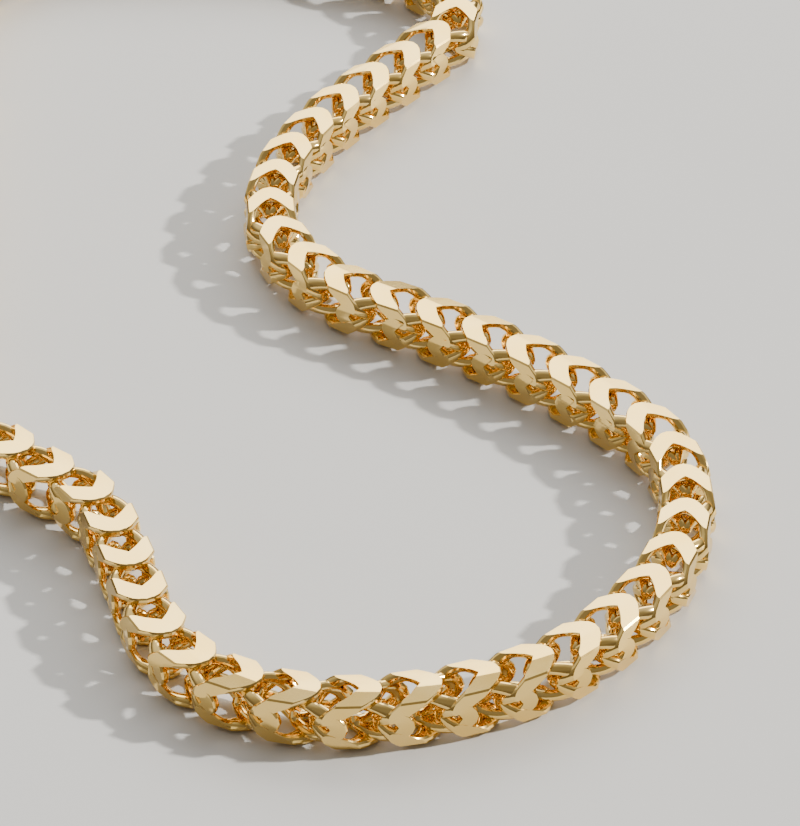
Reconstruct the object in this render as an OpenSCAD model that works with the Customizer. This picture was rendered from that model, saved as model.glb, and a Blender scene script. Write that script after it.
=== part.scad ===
// Franco chain necklace, lying on a table in a loose S with its clasp closed.
// Two kinds of bent wire ring alternate along it, half a pitch apart.
// A standing ring shows its V on the top and underside, a lying ring on the two sides.

/* [Chain] */
// Number of pitches, each one standing ring and one lying ring
pitch_count = 66; // [65:1:66]
// Thickness of the ring wire
wire_d = 1.5; // [1:0.05:1.5]
// Distance from the chain's axis to the wire's middle at the tip of a V
tip_radius = 3.25; // [3.2:0.05:3.3]
// Pitch that the ring shapes below are drawn at
ring_pitch = 7.7; // [7.65:0.05:7.75]

/* [Clasp] */
// Length of the clasp's body between the two end rings soldered to it
clasp_len = 12; // [10:0.5:13]
// Height of the clasp's body across its flats
clasp_h = 8; // [7.6:0.1:8]
// Length of the narrower collar at each end of the body
collar_len = 2; // [1:0.25:3]
// Height of the collars across their flats
collar_h = 6.6; // [6:0.1:7]

/* [Hidden] */

// Columns: angle round the axis from the V's tip, distance from the axis over the
// pitch, advance along the chain over the pitch. One quarter of a ring, tip to fold.
tip_share = tip_radius / ring_pitch;
standing_quarter = [
    [0, tip_share, 0],
    [22, 0.455, 0.38],
    [52, 0.36, 0.76],
    [90, 0.10, 0.88],
];
lying_quarter = [
    [0, tip_share, 0.12],
    [18, 0.45, 0.55],
    [62, 0.22, 0.79],
    [90, 0.11, 0.92],
];
wire_sides = 5;

// Route of the chain's axis over the table, a closed loop of points chosen by hand.
// It runs down the S, off to the left, and round behind by the plain way.
route = [
    [2.5, 99], [-10.5, 81], [-17.5, 65], [-18, 50], [-10, 36.5], [2.5, 28],
    [15, 19], [27, 8], [35.5, -3], [38.3, -16], [36, -29.5], [29, -42],
    [19, -52.5], [5, -58.8], [-10, -60.3], [-23.5, -55], [-31.5, -44.5],
    [-36, -30], [-41, -17], [-51, -7.5], [-60.5, 4], [-65, 20], [-66, 40],
    [-67, 60], [-68, 80], [-69, 101], [-67.5, 120], [-57, 131.5], [-41, 134],
    [-26, 133.5], [-12, 131], [-1, 126.5], [7, 118.5], [8.5, 108],
];
route_n = len(route);
steps = 16;

function route_pt(i) = route[(i + route_n) % route_n];

// Point between route[i] and route[i + 1], at t from 0 to 1, on a smooth spline
function spline(i, t) =
    let (a = route_pt(i - 1), b = route_pt(i), c = route_pt(i + 1), d = route_pt(i + 2))
    0.5 * (2 * b + (c - a) * t + (2 * a - 5 * b + 4 * c - d) * t * t
        + (3 * b - a - 3 * c + d) * t * t * t);

trail = [for (i = [0 : route_n * steps]) spline(floor(i / steps), (i % steps) / steps)];
trail_n = len(trail);

// Length of the trail up to each of its points
function run_lengths(i = 0, so_far = 0, out = []) =
    i == trail_n - 1 ? concat(out, [so_far])
        : run_lengths(i + 1, so_far + norm(trail[i + 1] - trail[i]), concat(out, [so_far]));
runs = run_lengths();
loop_len = runs[trail_n - 1];

xs = [for (i = [0 : trail_n - 1]) [runs[i], trail[i][0]]];
ys = [for (i = [0 : trail_n - 1]) [runs[i], trail[i][1]]];
x_mid = (min([for (q = trail) q[0]]) + max([for (q = trail) q[0]])) / 2;
y_mid = (min([for (q = trail) q[1]]) + max([for (q = trail) q[1]])) / 2;

function wrapped(s) = s - floor(s / loop_len) * loop_len;
function place(s) = [lookup(wrapped(s), xs) - x_mid, lookup(wrapped(s), ys) - y_mid];
function heading(s) = let (d = place(s + 1) - place(s - 1)) atan2(d[1], d[0]);

// Reach of the lying ring past its own pitch mark, in pitches
fold_reach = 0.5 + lying_quarter[3][2];
pitch = (loop_len - clasp_len) / (pitch_count - 1 + fold_reach);
rest_z = tip_radius + wire_d / 2;

// The clasp's body starts just past this route point, on the far left of the loop
clasp_route_point = 24;
clasp_past = 3.4;
clasp_start = runs[clasp_route_point * steps] + clasp_past;
chain_start = clasp_start + clasp_len;

// Puts a child, drawn along +X about the origin, on the route at length s
module on_route(s) {
    translate([place(s)[0], place(s)[1], rest_z]) rotate([0, 0, heading(s)]) children();
}

// A quarter mirrored into the whole ring: tip, fold, tip, fold
function whole_ring(q) =
    let (n = len(q) - 1)
    concat(
        [for (i = [0 : n]) q[i]],
        [for (i = [n - 1 : -1 : 0]) [180 - q[i][0], q[i][1], q[i][2]]],
        [for (i = [1 : n]) [180 + q[i][0], q[i][1], q[i][2]]],
        [for (i = [n - 1 : -1 : 1]) [360 - q[i][0], q[i][1], q[i][2]]]
    );

function unit(v) = v / norm(v);

// One ring of wire about the X axis, its tips turned by roll from straight up
module ring(quarter, roll) {
    rows = whole_ring(quarter);
    n = len(rows);
    axis = [for (r = rows)
        [r[2], r[1] * sin(r[0] + roll), r[1] * cos(r[0] + roll)] * ring_pitch];
    points = [for (i = [0 : n - 1])
        let (
            before = unit(axis[i] - axis[(i + n - 1) % n]),
            after = unit(axis[(i + 1) % n] - axis[i]),
            along = unit(before + after),
            bend = after - before,
            inward = norm(bend) < 0.05 ? [0, 0, 0] : unit(bend),
            miter = min(1.9, 1 / max(0.3, along * after)) - 1,
            out = [0.8, sin(rows[i][0] + roll), cos(rows[i][0] + roll)],
            e1 = unit(out - along * (out * along)),
            e2 = cross(along, e1)
        )
        for (k = [0 : wire_sides - 1])
            let (
                a = 360 * k / wire_sides,
                flat = (e1 * cos(a) + e2 * sin(a)) * wire_d / 2
            )
            axis[i] + flat + inward * (inward * flat) * miter];
    faces = [for (i = [0 : n - 1]) for (k = [0 : wire_sides - 1])
        let (
            a = i * wire_sides + k,
            b = i * wire_sides + (k + 1) % wire_sides,
            c = ((i + 1) % n) * wire_sides + (k + 1) % wire_sides,
            d = ((i + 1) % n) * wire_sides + k
        )
        for (f = [[a, c, b], [a, d, c]]) f];
    polyhedron(points, faces);
}

// Middle of a ring along the chain, which is the point that follows the route
function ring_mid(quarter) = (quarter[0][2] + quarter[3][2]) / 2 * ring_pitch;

// A standing or a lying ring, set on the route at its place in pitch i
module standing_ring(i) {
    mid = ring_mid(standing_quarter);
    on_route(chain_start + i * pitch + mid)
        translate([-mid, 0, 0]) ring(standing_quarter, 0);
}

module lying_ring(i) {
    mid = ring_mid(lying_quarter);
    on_route(chain_start + (i + 0.5) * pitch + mid)
        translate([-mid, 0, 0]) ring(lying_quarter, 90);
}

// Octagonal bar along +X, its height across the flats h, about the chain's axis
module octagon_bar(h, len) {
    rotate([0, 90, 0]) rotate([0, 0, 22.5])
        cylinder(h = len, r = h / 2 / cos(22.5), $fn = 8);
}

half_count = floor(pitch_count / 2);

// Upper part of the S and the stretch behind it
module chain_upper() {
    color("gold") {
        for (i = [1 : half_count]) standing_ring(i);
        for (i = [0 : half_count]) lying_ring(i);
    }
}

// Lower part of the S and the stretch up to the clasp
module chain_lower() {
    color("gold") {
        for (i = [half_count + 1 : pitch_count - 1]) standing_ring(i);
        for (i = [half_count + 1 : pitch_count - 2]) lying_ring(i);
    }
}

// Closed clasp with the chain's two end rings soldered to its collars
module clasp() {
    color("goldenrod") union() {
        on_route(clasp_start + clasp_len / 2) {
            translate([-clasp_len / 2, 0, 0]) octagon_bar(collar_h, clasp_len);
            translate([collar_len - clasp_len / 2, 0, 0])
                octagon_bar(clasp_h, clasp_len - 2 * collar_len);
        }
        standing_ring(0);
        lying_ring(pitch_count - 1);
    }
}

chain_upper();
chain_lower();
clasp();
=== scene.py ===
# A gold franco chain necklace, lying in a loose S with its clasp closed.
import math

import bmesh
import bpy
import numpy as np
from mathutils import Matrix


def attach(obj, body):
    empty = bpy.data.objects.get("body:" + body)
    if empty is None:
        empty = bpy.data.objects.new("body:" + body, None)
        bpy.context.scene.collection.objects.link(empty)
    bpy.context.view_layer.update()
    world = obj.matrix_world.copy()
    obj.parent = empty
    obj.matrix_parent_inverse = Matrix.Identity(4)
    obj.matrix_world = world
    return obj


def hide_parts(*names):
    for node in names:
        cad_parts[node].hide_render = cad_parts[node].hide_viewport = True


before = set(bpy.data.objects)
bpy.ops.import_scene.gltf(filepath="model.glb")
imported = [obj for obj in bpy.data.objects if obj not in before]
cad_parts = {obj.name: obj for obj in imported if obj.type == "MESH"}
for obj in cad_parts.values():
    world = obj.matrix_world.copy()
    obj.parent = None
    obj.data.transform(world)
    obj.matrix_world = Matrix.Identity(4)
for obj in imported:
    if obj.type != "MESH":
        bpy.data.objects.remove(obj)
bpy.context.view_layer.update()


# Camera
# It looks down at the table from 35 degrees, from far enough away that the chain
# hardly tapers, and takes in the S but not the stretch that closes the loop.
IMAGE_W = 800
MM = 0.001
FOCAL_PX = 5200
CAMERA_RISE = math.radians(35)
CAMERA_REACH = 708 * MM
SENSOR_MM = 36
AIM = (15.4 * MM, -36.8 * MM, 8 * MM)
NEAR_CLIP = 50 * MM
FAR_CLIP = 20


def camera_place(aim, reach, rise):
    """Place that looks at the aim from straight in front, at that reach and rise."""
    return (
        aim[0],
        aim[1] - reach * math.cos(rise),
        aim[2] + reach * math.sin(rise),
    )


lens = bpy.data.cameras.new("studio_lens")
lens.sensor_fit = "HORIZONTAL"
lens.sensor_width = SENSOR_MM
lens.lens = FOCAL_PX / IMAGE_W * SENSOR_MM
lens.clip_start = NEAR_CLIP
lens.clip_end = FAR_CLIP
camera = bpy.data.objects.new("studio_camera", lens)
camera.location = camera_place(AIM, CAMERA_REACH, CAMERA_RISE)
camera.rotation_euler = (math.pi / 2 - CAMERA_RISE, 0, 0)
bpy.context.collection.objects.link(camera)
bpy.context.scene.camera = camera


# Chain
# Solid gold wire, bent into long rings that are folded through one another. A standing
# ring shows a V on the top and underside, a lying ring on the two sides, half a pitch on.
# Once closed, it is cut along its four faces, slightly crowned, and flat along its edges.
# The rings are drawn for a round pitch, and the route's length sets the one they take.
PITCH_COUNT = 66
RING_PITCH = 7.7 * MM
REST_Z = 4.0 * MM
CLASP_LEN = 12 * MM
STANDING_FOLD = 0.88
LYING_TIP = 0.12
LYING_FOLD = 0.92
ROUTE_MM = [
    (2.5, 99), (-10.5, 81), (-17.5, 65), (-18, 50), (-10, 36.5), (2.5, 28),
    (15, 19), (27, 8), (35.5, -3), (38.3, -16), (36, -29.5), (29, -42),
    (19, -52.5), (5, -58.8), (-10, -60.3), (-23.5, -55), (-31.5, -44.5),
    (-36, -30), (-41, -17), (-51, -7.5), (-60.5, 4), (-65, 20), (-66, 40),
    (-67, 60), (-68, 80), (-69, 101), (-67.5, 120), (-57, 131.5), (-41, 134),
    (-26, 133.5), (-12, 131), (-1, 126.5), (7, 118.5), (8.5, 108),
]
# The route's points are joined by a smooth curve, and the clasp starts just past one.
ROUTE_STEPS = 16
CLASP_ROUTE_POINT = 24
CLASP_PAST = 3.4 * MM


def smooth_between(a, b, c, d, t):
    """Point at share t from b to c, on the smooth curve through four points in turn."""
    return 0.5 * (
        2 * b + (c - a) * t + (2 * a - 5 * b + 4 * c - d) * t ** 2
        + (3 * b - a - 3 * c + d) * t ** 3
    )


def route_trail(points, steps):
    """Points of a closed smooth spline through the route, and the length up to each."""
    knots = np.array(points, float) * MM
    count = len(knots)
    trail = []
    for i in range(count * steps + 1):
        k, t = divmod(i, steps)
        t /= steps
        near = (knots[(k + j) % count] for j in (-1, 0, 1, 2))
        trail.append(smooth_between(*near, t))
    trail = np.array(trail)
    runs = np.concatenate([[0], np.cumsum(np.linalg.norm(np.diff(trail, axis=0), axis=1))])
    middle = (trail.min(axis=0) + trail.max(axis=0)) / 2
    return trail - middle, runs


trail, runs = route_trail(ROUTE_MM, ROUTE_STEPS)
LOOP_LEN = runs[-1]
PITCH = (LOOP_LEN - CLASP_LEN) / (PITCH_COUNT - 0.5 + LYING_FOLD)
CLASP_START = runs[CLASP_ROUTE_POINT * ROUTE_STEPS] + CLASP_PAST
CHAIN_START = CLASP_START + CLASP_LEN


def route_place(s):
    """Plan position of the chain's axis at length s along the route."""
    s = s % LOOP_LEN
    return np.array([np.interp(s, runs, trail[:, 0]), np.interp(s, runs, trail[:, 1])])


def route_frame(s):
    """Place on the route at length s, with the chain's own forward and side directions."""
    here = route_place(s)
    forward = route_place(s + MM) - route_place(s - MM)
    forward /= np.linalg.norm(forward)
    side = np.array([forward[1], -forward[0]])
    return here, forward, side


# Columns: angle round the axis from the V's tip, distance from the axis, advance along
# the chain, half the band's width and half its thickness, all over the pitch, and how
# far the band's flat turns from facing outward to facing along the chain.
STANDING_KEYS = np.array([
    (0, 0.430, 0.20, 0.205, 0.125, 0.0),
    (22, 0.470, 0.31, 0.185, 0.120, 0.0),
    (43, 0.560, 0.58, 0.155, 0.115, 0.0),
    (63, 0.480, 0.90, 0.125, 0.110, 0.1),
    (76, 0.290, 1.10, 0.105, 0.105, 0.6),
    (90, 0.120, 1.14, 0.095, 0.095, 1.0),
])
LYING_KEYS = np.array([
    (0, 0.430, 0.17, 0.160, 0.120, 0.0),
    (20, 0.440, 0.28, 0.140, 0.110, 0.0),
    (38, 0.420, 0.52, 0.120, 0.100, 0.0),
    (56, 0.330, 0.76, 0.100, 0.100, 0.2),
    (75, 0.230, 0.93, 0.095, 0.095, 0.5),
    (90, 0.150, 0.98, 0.095, 0.095, 1.0),
])
# A squareness of 2 is round wire. From the notch's reach outward, over the pitch, the two
# arms of a V are kept on their own sides of its middle.
RING_STEPS = 60
WIRE_STEPS = 20
SQUARENESS = 2.3
NOTCH_REACH = 0.4
SHARP_ANGLE = math.radians(18)
CUT_MERGE = 1e-5

# The cuts, as each plane's angle round the axis and its distance over the pitch. Each face
# is flat along its middle and falls away by the crown's angle from there to its edges.
FACE_CUT = 0.5
EDGE_CUT = 0.615
FACE_CROWN = math.radians(9)
CROWN_START = 0.1
CROWN_CUT = CROWN_START * math.sin(FACE_CROWN) + FACE_CUT * math.cos(FACE_CROWN)
FACE_CUTS = (
    (0, FACE_CUT),
    (-FACE_CROWN, CROWN_CUT),
    (FACE_CROWN, CROWN_CUT),
    (math.pi / 4, EDGE_CUT),
)
CUTS = [(k * math.pi / 2 + lean, reach) for k in range(4) for lean, reach in FACE_CUTS]


def whole_ring(quarter):
    """The quarter ring's rows mirrored into tip, fold, tip, fold."""
    def turned(row, angle):
        return (angle,) + tuple(row[1:])

    rows = [tuple(r) for r in quarter]
    rows += [turned(r, 180 - r[0]) for r in quarter[-2::-1]]
    rows += [turned(r, 180 + r[0]) for r in quarter[1:]]
    rows += [turned(r, 360 - r[0]) for r in quarter[-2:0:-1]]
    return np.array(rows)


def smooth_closed(rows, count):
    """Count rows along a closed smooth spline through the given rows."""
    n = len(rows)
    out = []
    for step in range(count):
        k, t = divmod(step * n / count, 1)
        k = int(k)
        near = (rows[(k + j) % n] for j in (-1, 0, 1, 2))
        out.append(smooth_between(*near, t))
    return np.array(out)


def unit(v):
    return v / np.linalg.norm(v, axis=-1, keepdims=True)


def ring_points(quarter, roll):
    """Surface points of one ring about the chain's axis, as forward, side and up over the pitch."""
    rows = whole_ring(quarter)
    angle = np.radians(rows[:, 0] + roll)
    shaped = np.column_stack([
        rows[:, 2], rows[:, 1] * np.sin(angle), rows[:, 1] * np.cos(angle), rows[:, 3:],
    ])
    shaped = smooth_closed(shaped, RING_STEPS)
    axis = shaped[:, :3]
    along = unit(np.roll(axis, -1, axis=0) - np.roll(axis, 1, axis=0))
    outward = unit(axis * (0, 1, 1))
    turn = shaped[:, 5:6]
    facing = outward * (1 - turn) + np.array([1, 0, 0]) * turn
    flat_normal = unit(facing - along * np.sum(facing * along, axis=1, keepdims=True))
    across = np.cross(along, flat_normal)
    around = np.arange(WIRE_STEPS) * 2 * math.pi / WIRE_STEPS
    power = 2 / SQUARENESS
    wide = np.sign(np.cos(around)) * np.abs(np.cos(around)) ** power
    thick = np.sign(np.sin(around)) * np.abs(np.sin(around)) ** power
    points = (
        axis[:, None]
        + across[:, None] * (wide[None, :, None] * shaped[:, 3][:, None, None])
        + flat_normal[:, None] * (thick[None, :, None] * shaped[:, 4][:, None, None])
    )
    keep_halves_apart(points, axis)
    return points.reshape(-1, 3)


def keep_halves_apart(points, axis):
    """Stops the two arms of a V at its middle plane, where they meet in a sharp notch."""
    tip = np.linalg.norm(axis[:, 1:], axis=1) > NOTCH_REACH
    direction = 1 if abs(axis[0, 1]) < abs(axis[0, 2]) else 2
    half = np.sign(np.round(axis[:, direction], 6))
    for i in np.nonzero(tip & (half != 0))[0]:
        reach = points[i, :, direction] * half[i]
        points[i, :, direction] = np.maximum(reach, 0) * half[i]


def ring_faces():
    """Four-sided faces of the uncut ring, by the numbers of its surface points."""
    faces = []
    for i in range(RING_STEPS):
        for k in range(WIRE_STEPS):
            j = (i + 1) % RING_STEPS
            m = (k + 1) % WIRE_STEPS
            faces.append((
                i * WIRE_STEPS + k, j * WIRE_STEPS + k,
                j * WIRE_STEPS + m, i * WIRE_STEPS + m,
            ))
    return faces


def cut_ring(quarter, roll):
    """Corners and faces of one ring, its outer sides cut off by every plane in turn."""
    shape = bmesh.new()
    corners = [shape.verts.new(p) for p in ring_points(quarter, roll)]
    for face in ring_faces():
        shape.faces.new([corners[v] for v in face])
    for angle, reach in CUTS:
        normal = (0, math.sin(angle), math.cos(angle))
        everything = shape.verts[:] + shape.edges[:] + shape.faces[:]
        bmesh.ops.bisect_plane(
            shape, geom=everything, dist=CUT_MERGE, clear_outer=True,
            plane_co=[reach * v for v in normal], plane_no=normal,
        )
        rim = [edge for edge in shape.edges if edge.is_boundary]
        bmesh.ops.holes_fill(shape, edges=rim, sides=0)
    bmesh.ops.recalc_face_normals(shape, faces=shape.faces[:])
    shape.verts.index_update()
    points = np.array([v.co for v in shape.verts]) * RING_PITCH
    faces = [tuple(v.index for v in face.verts) for face in shape.faces]
    shape.free()
    return points, faces


STANDING_RING, STANDING_FACES = cut_ring(STANDING_KEYS, 0)
LYING_RING, LYING_FACES = cut_ring(LYING_KEYS, 90)


def set_on_route(points, start, middle):
    """Moves a ring, rigid, so that its middle lies on the route."""
    here, forward, side = route_frame(start + middle)
    ahead = points[:, :1] - middle
    plan = here + ahead * forward + points[:, 1:2] * side
    return np.column_stack([plan, points[:, 2] + REST_Z])


def standing_ring(i):
    """Standing ring of pitch i, set on the route."""
    middle = STANDING_FOLD / 2 * RING_PITCH
    return set_on_route(STANDING_RING, CHAIN_START + i * PITCH, middle), STANDING_FACES


def lying_ring(i):
    """Lying ring of pitch i, half a pitch past the standing one."""
    middle = (LYING_TIP + LYING_FOLD) / 2 * RING_PITCH
    return set_on_route(LYING_RING, CHAIN_START + (i + 0.5) * PITCH, middle), LYING_FACES


def joined_rings(name, rings):
    """One mesh piece from many rings."""
    verts, faces, first = [], [], 0
    for points, ring in rings:
        verts += points.tolist()
        faces += [tuple(v + first for v in face) for face in ring]
        first += len(points)
    mesh = bpy.data.meshes.new(name)
    mesh.from_pydata(verts, [], faces)
    mesh.shade_smooth()
    mesh.set_sharp_from_angle(angle=SHARP_ANGLE)
    piece = bpy.data.objects.new(name, mesh)
    bpy.context.collection.objects.link(piece)
    return piece


HALF_COUNT = PITCH_COUNT // 2
upper_links = joined_rings(
    "upper_links",
    [standing_ring(i) for i in range(1, HALF_COUNT + 1)]
    + [lying_ring(i) for i in range(HALF_COUNT + 1)],
)
lower_links = joined_rings(
    "lower_links",
    [standing_ring(i) for i in range(HALF_COUNT + 1, PITCH_COUNT)]
    + [lying_ring(i) for i in range(HALF_COUNT + 1, PITCH_COUNT - 1)],
)


HAIRLINES_PER_M = 900
SMEARS_PER_M = 160
HAIRLINE_STRETCH = (1, 6, 6)
HAIRLINE_SLANT = (0.3, 0.2, 0.6)
HAIRLINE_DEPTH = 0.02 * MM
HAIRLINE_STRENGTH = 0.06
NOISE_LOW = 0.3
NOISE_HIGH = 0.7


def handling_marks():
    """Faint hairlines and soft smears that polished gold picks up."""
    group = bpy.data.node_groups.new("handling_marks", "ShaderNodeTree")
    face = group.interface
    face.new_socket("Hairline Scale", in_out="INPUT", socket_type="NodeSocketFloat")
    face.new_socket("Smear Scale", in_out="INPUT", socket_type="NodeSocketFloat")
    face.new_socket("Hairlines", in_out="OUTPUT", socket_type="NodeSocketFloat")
    face.new_socket("Smears", in_out="OUTPUT", socket_type="NodeSocketFloat")
    nodes, links = group.nodes, group.links
    inputs = nodes.new("NodeGroupInput")
    outputs = nodes.new("NodeGroupOutput")
    place = nodes.new("ShaderNodeTexCoord")
    stretch = nodes.new("ShaderNodeMapping")
    stretch.inputs["Scale"].default_value = HAIRLINE_STRETCH
    stretch.inputs["Rotation"].default_value = HAIRLINE_SLANT
    hairs = nodes.new("ShaderNodeTexNoise")
    hairs.inputs["Detail"].default_value = 4
    smears = nodes.new("ShaderNodeTexNoise")
    smears.inputs["Detail"].default_value = 2
    links.new(place.outputs["Object"], stretch.inputs["Vector"])
    links.new(stretch.outputs["Vector"], hairs.inputs["Vector"])
    links.new(place.outputs["Object"], smears.inputs["Vector"])
    links.new(inputs.outputs["Hairline Scale"], hairs.inputs["Scale"])
    links.new(inputs.outputs["Smear Scale"], smears.inputs["Scale"])
    links.new(hairs.outputs["Fac"], outputs.inputs["Hairlines"])
    links.new(smears.outputs["Fac"], outputs.inputs["Smears"])
    return group


HANDLING_MARKS = handling_marks()


def ranged(nodes, links, source, low, high):
    """Spreads a noise over the range from low to high."""
    spread = nodes.new("ShaderNodeMapRange")
    spread.inputs["From Min"].default_value = NOISE_LOW
    spread.inputs["From Max"].default_value = NOISE_HIGH
    spread.inputs["To Min"].default_value = low
    spread.inputs["To Max"].default_value = high
    links.new(source, spread.inputs["Value"])
    return spread.outputs["Result"]


def gold(name, tone, pale_tone, smooth, dull):
    """Polished yellow gold, a little paler where it is rubbed."""
    material = bpy.data.materials.new(name)
    material.use_nodes = True
    nodes, links = material.node_tree.nodes, material.node_tree.links
    shader = nodes["Principled BSDF"]
    shader.inputs["Metallic"].default_value = 1
    marks = nodes.new("ShaderNodeGroup")
    marks.node_tree = HANDLING_MARKS
    marks.inputs["Hairline Scale"].default_value = HAIRLINES_PER_M
    marks.inputs["Smear Scale"].default_value = SMEARS_PER_M
    colour = nodes.new("ShaderNodeMix")
    colour.data_type = "RGBA"
    colour.inputs["A"].default_value = tone
    colour.inputs["B"].default_value = pale_tone
    links.new(ranged(nodes, links, marks.outputs["Smears"], 0, 1), colour.inputs["Factor"])
    links.new(colour.outputs["Result"], shader.inputs["Base Color"])
    links.new(
        ranged(nodes, links, marks.outputs["Smears"], smooth, dull),
        shader.inputs["Roughness"],
    )
    bump = nodes.new("ShaderNodeBump")
    bump.inputs["Strength"].default_value = HAIRLINE_STRENGTH
    bump.inputs["Distance"].default_value = HAIRLINE_DEPTH
    links.new(marks.outputs["Hairlines"], bump.inputs["Height"])
    links.new(bump.outputs["Normal"], shader.inputs["Normal"])
    return material


GOLD_TONE = (0.96, 0.65, 0.19, 1)
RUBBED_TONE = (0.98, 0.70, 0.25, 1)
POLISHED_GOLD = gold("polished_gold", GOLD_TONE, RUBBED_TONE, smooth=0.08, dull=0.13)
for links_piece, node in ((upper_links, "chain_upper"), (lower_links, "chain_lower")):
    links_piece.data.materials.append(POLISHED_GOLD)
    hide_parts(node)
    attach(links_piece, "root")


# Clasp
# A plain closed bar of polished gold in the stretch that closes the loop, with a
# narrower collar at each end, to which the chain's last ring is soldered.
CLASP_H = 8 * MM
COLLAR_H = 6.6 * MM
COLLAR_LEN = 2 * MM
CLASP_ROUND = 0.35 * MM
CLASP_FLATS = 8


def clasp_profile():
    """Distance along the clasp and half its height across the flats, end to end."""
    body, collar = CLASP_H / 2, COLLAR_H / 2
    near, far, edge = COLLAR_LEN, CLASP_LEN - COLLAR_LEN, CLASP_ROUND
    return [
        (0, collar - edge), (edge, collar), (near, collar),
        (near, body - edge), (near + edge, body), (far - edge, body),
        (far, body - edge), (far, collar), (CLASP_LEN - edge, collar),
        (CLASP_LEN, collar - edge),
    ]


def clasp_mesh():
    """The profile's rows joined into a closed eight-sided bar on the route."""
    rows = clasp_profile()
    corner = 1 / math.cos(math.pi / CLASP_FLATS)
    here, forward, side = route_frame(CLASP_START + CLASP_LEN / 2)
    verts = []
    for along, half in rows:
        for k in range(CLASP_FLATS):
            angle = (k + 0.5) * 2 * math.pi / CLASP_FLATS
            out = half * corner
            plan = here + forward * (along - CLASP_LEN / 2) + side * out * math.sin(angle)
            verts.append((plan[0], plan[1], REST_Z + out * math.cos(angle)))
    first = range(CLASP_FLATS)
    last = range((len(rows) - 1) * CLASP_FLATS, len(rows) * CLASP_FLATS)
    faces = [tuple(first)[::-1], tuple(last)]
    for i in range(len(rows) - 1):
        for k in range(CLASP_FLATS):
            a = i * CLASP_FLATS
            b = a + CLASP_FLATS
            m = (k + 1) % CLASP_FLATS
            faces.append((a + k, a + m, b + m, b + k))
    mesh = bpy.data.meshes.new("clasp_bar")
    mesh.from_pydata(verts, [], faces)
    return mesh


clasp_bar = bpy.data.objects.new("clasp_bar", clasp_mesh())
bpy.context.collection.objects.link(clasp_bar)
clasp_rings = joined_rings("clasp_rings", [standing_ring(0), lying_ring(PITCH_COUNT - 1)])
for clasp_piece in (clasp_bar, clasp_rings):
    clasp_piece.data.materials.append(POLISHED_GOLD)
    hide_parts("clasp")
    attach(clasp_piece, "root")


# Table
# A wide, pale, honed surface for the chain to lie on.
TABLE_HALF = 1.5
STONE_TONE = (0.665, 0.665, 0.655, 1)
STONE_CLOUD_TONE = (0.70, 0.70, 0.69, 1)
STONE_CLOUDS_PER_M = 22


def pale_stone():
    """Honed stone with faint clouds in its tone."""
    material = bpy.data.materials.new("pale_stone")
    material.use_nodes = True
    nodes, links = material.node_tree.nodes, material.node_tree.links
    shader = nodes["Principled BSDF"]
    shader.inputs["Roughness"].default_value = 0.6
    place = nodes.new("ShaderNodeTexCoord")
    clouds = nodes.new("ShaderNodeTexNoise")
    clouds.inputs["Scale"].default_value = STONE_CLOUDS_PER_M
    clouds.inputs["Detail"].default_value = 6
    colour = nodes.new("ShaderNodeMix")
    colour.data_type = "RGBA"
    colour.inputs["A"].default_value = STONE_TONE
    colour.inputs["B"].default_value = STONE_CLOUD_TONE
    links.new(place.outputs["Object"], clouds.inputs["Vector"])
    links.new(clouds.outputs["Fac"], colour.inputs["Factor"])
    links.new(colour.outputs["Result"], shader.inputs["Base Color"])
    return material


table_mesh = bpy.data.meshes.new("table_top")
table_mesh.from_pydata(
    [
        (-TABLE_HALF, -TABLE_HALF, 0), (TABLE_HALF, -TABLE_HALF, 0),
        (TABLE_HALF, TABLE_HALF, 0), (-TABLE_HALF, TABLE_HALF, 0),
    ],
    [], [(0, 1, 2, 3)],
)
table_top = bpy.data.objects.new("table_top", table_mesh)
table_top.data.materials.append(pale_stone())
bpy.context.collection.objects.link(table_top)


# Light
# A low sun-like key from the right, a wide soft panel behind that whitens the top
# faces, and a room that is dim near the table's level and on the viewer's side.
KEY_RISE = math.radians(30)
KEY_TURN = math.radians(8)
KEY_SPREAD = math.radians(2.5)
KEY_POWER = 5.0
KEY_TINT = (1.0, 0.965, 0.91)
PANEL_PLACE = (0.1, 1.3, 0.95)
PANEL_SIZE = (2.0, 1.0)
PANEL_POWER = 20
PANEL_TINT = (1.0, 0.99, 0.95)
ROOM_BACK = (1.0, 0.985, 0.96, 1)
ROOM_FRONT = (0.26, 0.24, 0.21, 1)
ROOM_WALLS = (0.16, 0.14, 0.12, 1)
# Where the room turns from front to back, and from low walls to its upper part, as parts
# of the sky's direction along Y and Z.
ROOM_TURN_Y = (-0.45, 0.5)
ROOM_TURN_Z = (0.15, 0.6)


def key_light(name, rise, turn, power, spread):
    """A small, far lamp at that rise above the right-hand side, turned toward the back."""
    data = bpy.data.lights.new(name, "SUN")
    data.energy = power
    data.angle = spread
    data.color = KEY_TINT
    lamp = bpy.data.objects.new(name, data)
    lamp.rotation_euler = (0, math.pi / 2 - rise, turn)
    bpy.context.collection.objects.link(lamp)


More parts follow.
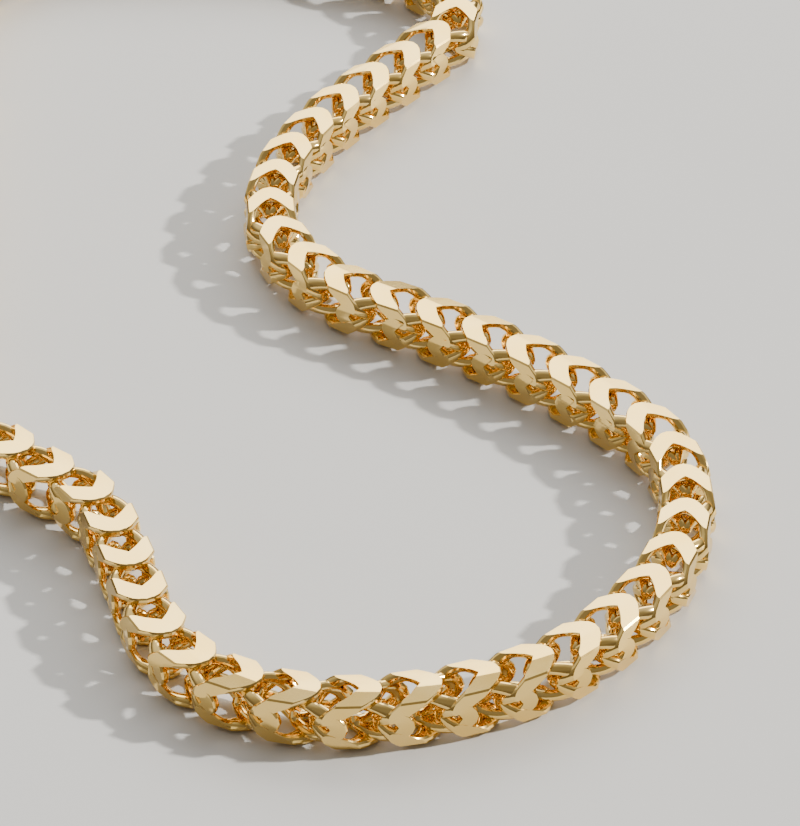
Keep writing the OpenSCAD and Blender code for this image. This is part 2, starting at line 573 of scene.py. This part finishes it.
def soft_panel(name, place, aim, size, power, tint):
    """A lit rectangle at a place, facing its aim."""
    data = bpy.data.lights.new(name, "AREA")
    data.shape = "RECTANGLE"
    data.size, data.size_y = size
    data.energy = power
    data.color = tint
    lamp = bpy.data.objects.new(name, data)
    lamp.location = place
    away = np.array(aim) - np.array(place)
    flat = math.hypot(away[0], away[1])
    lamp.rotation_euler = (
        math.atan2(flat, -away[2]), 0, math.atan2(away[1], away[0]) - math.pi / 2,
    )
    bpy.context.collection.objects.link(lamp)


key_light("window_key", KEY_RISE, KEY_TURN, KEY_POWER, KEY_SPREAD)
soft_panel("back_panel", PANEL_PLACE, (0, 0, 0), PANEL_SIZE, PANEL_POWER, PANEL_TINT)


def studio_room():
    """A room that is bright above and behind the table, dim in front and low down."""
    world = bpy.data.worlds.new("studio_room")
    world.use_nodes = True
    nodes, links = world.node_tree.nodes, world.node_tree.links
    place = nodes.new("ShaderNodeTexCoord")
    parts = nodes.new("ShaderNodeSeparateXYZ")
    depth = nodes.new("ShaderNodeMapRange")
    depth.interpolation_type = "SMOOTHSTEP"
    depth.inputs["From Min"].default_value = ROOM_TURN_Y[0]
    depth.inputs["From Max"].default_value = ROOM_TURN_Y[1]
    colour = nodes.new("ShaderNodeMix")
    colour.data_type = "RGBA"
    colour.inputs["A"].default_value = ROOM_FRONT
    colour.inputs["B"].default_value = ROOM_BACK
    rise = nodes.new("ShaderNodeMapRange")
    rise.interpolation_type = "SMOOTHSTEP"
    rise.inputs["From Min"].default_value = ROOM_TURN_Z[0]
    rise.inputs["From Max"].default_value = ROOM_TURN_Z[1]
    walls = nodes.new("ShaderNodeMix")
    walls.data_type = "RGBA"
    walls.inputs["A"].default_value = ROOM_WALLS
    links.new(place.outputs["Generated"], parts.inputs["Vector"])
    links.new(parts.outputs["Y"], depth.inputs["Value"])
    links.new(parts.outputs["Z"], rise.inputs["Value"])
    links.new(depth.outputs["Result"], colour.inputs["Factor"])
    links.new(rise.outputs["Result"], walls.inputs["Factor"])
    links.new(colour.outputs["Result"], walls.inputs["B"])
    links.new(walls.outputs["Result"], nodes["Background"].inputs["Color"])
    nodes["Background"].inputs["Strength"].default_value = 1.0
    return world


bpy.context.scene.world = studio_room()
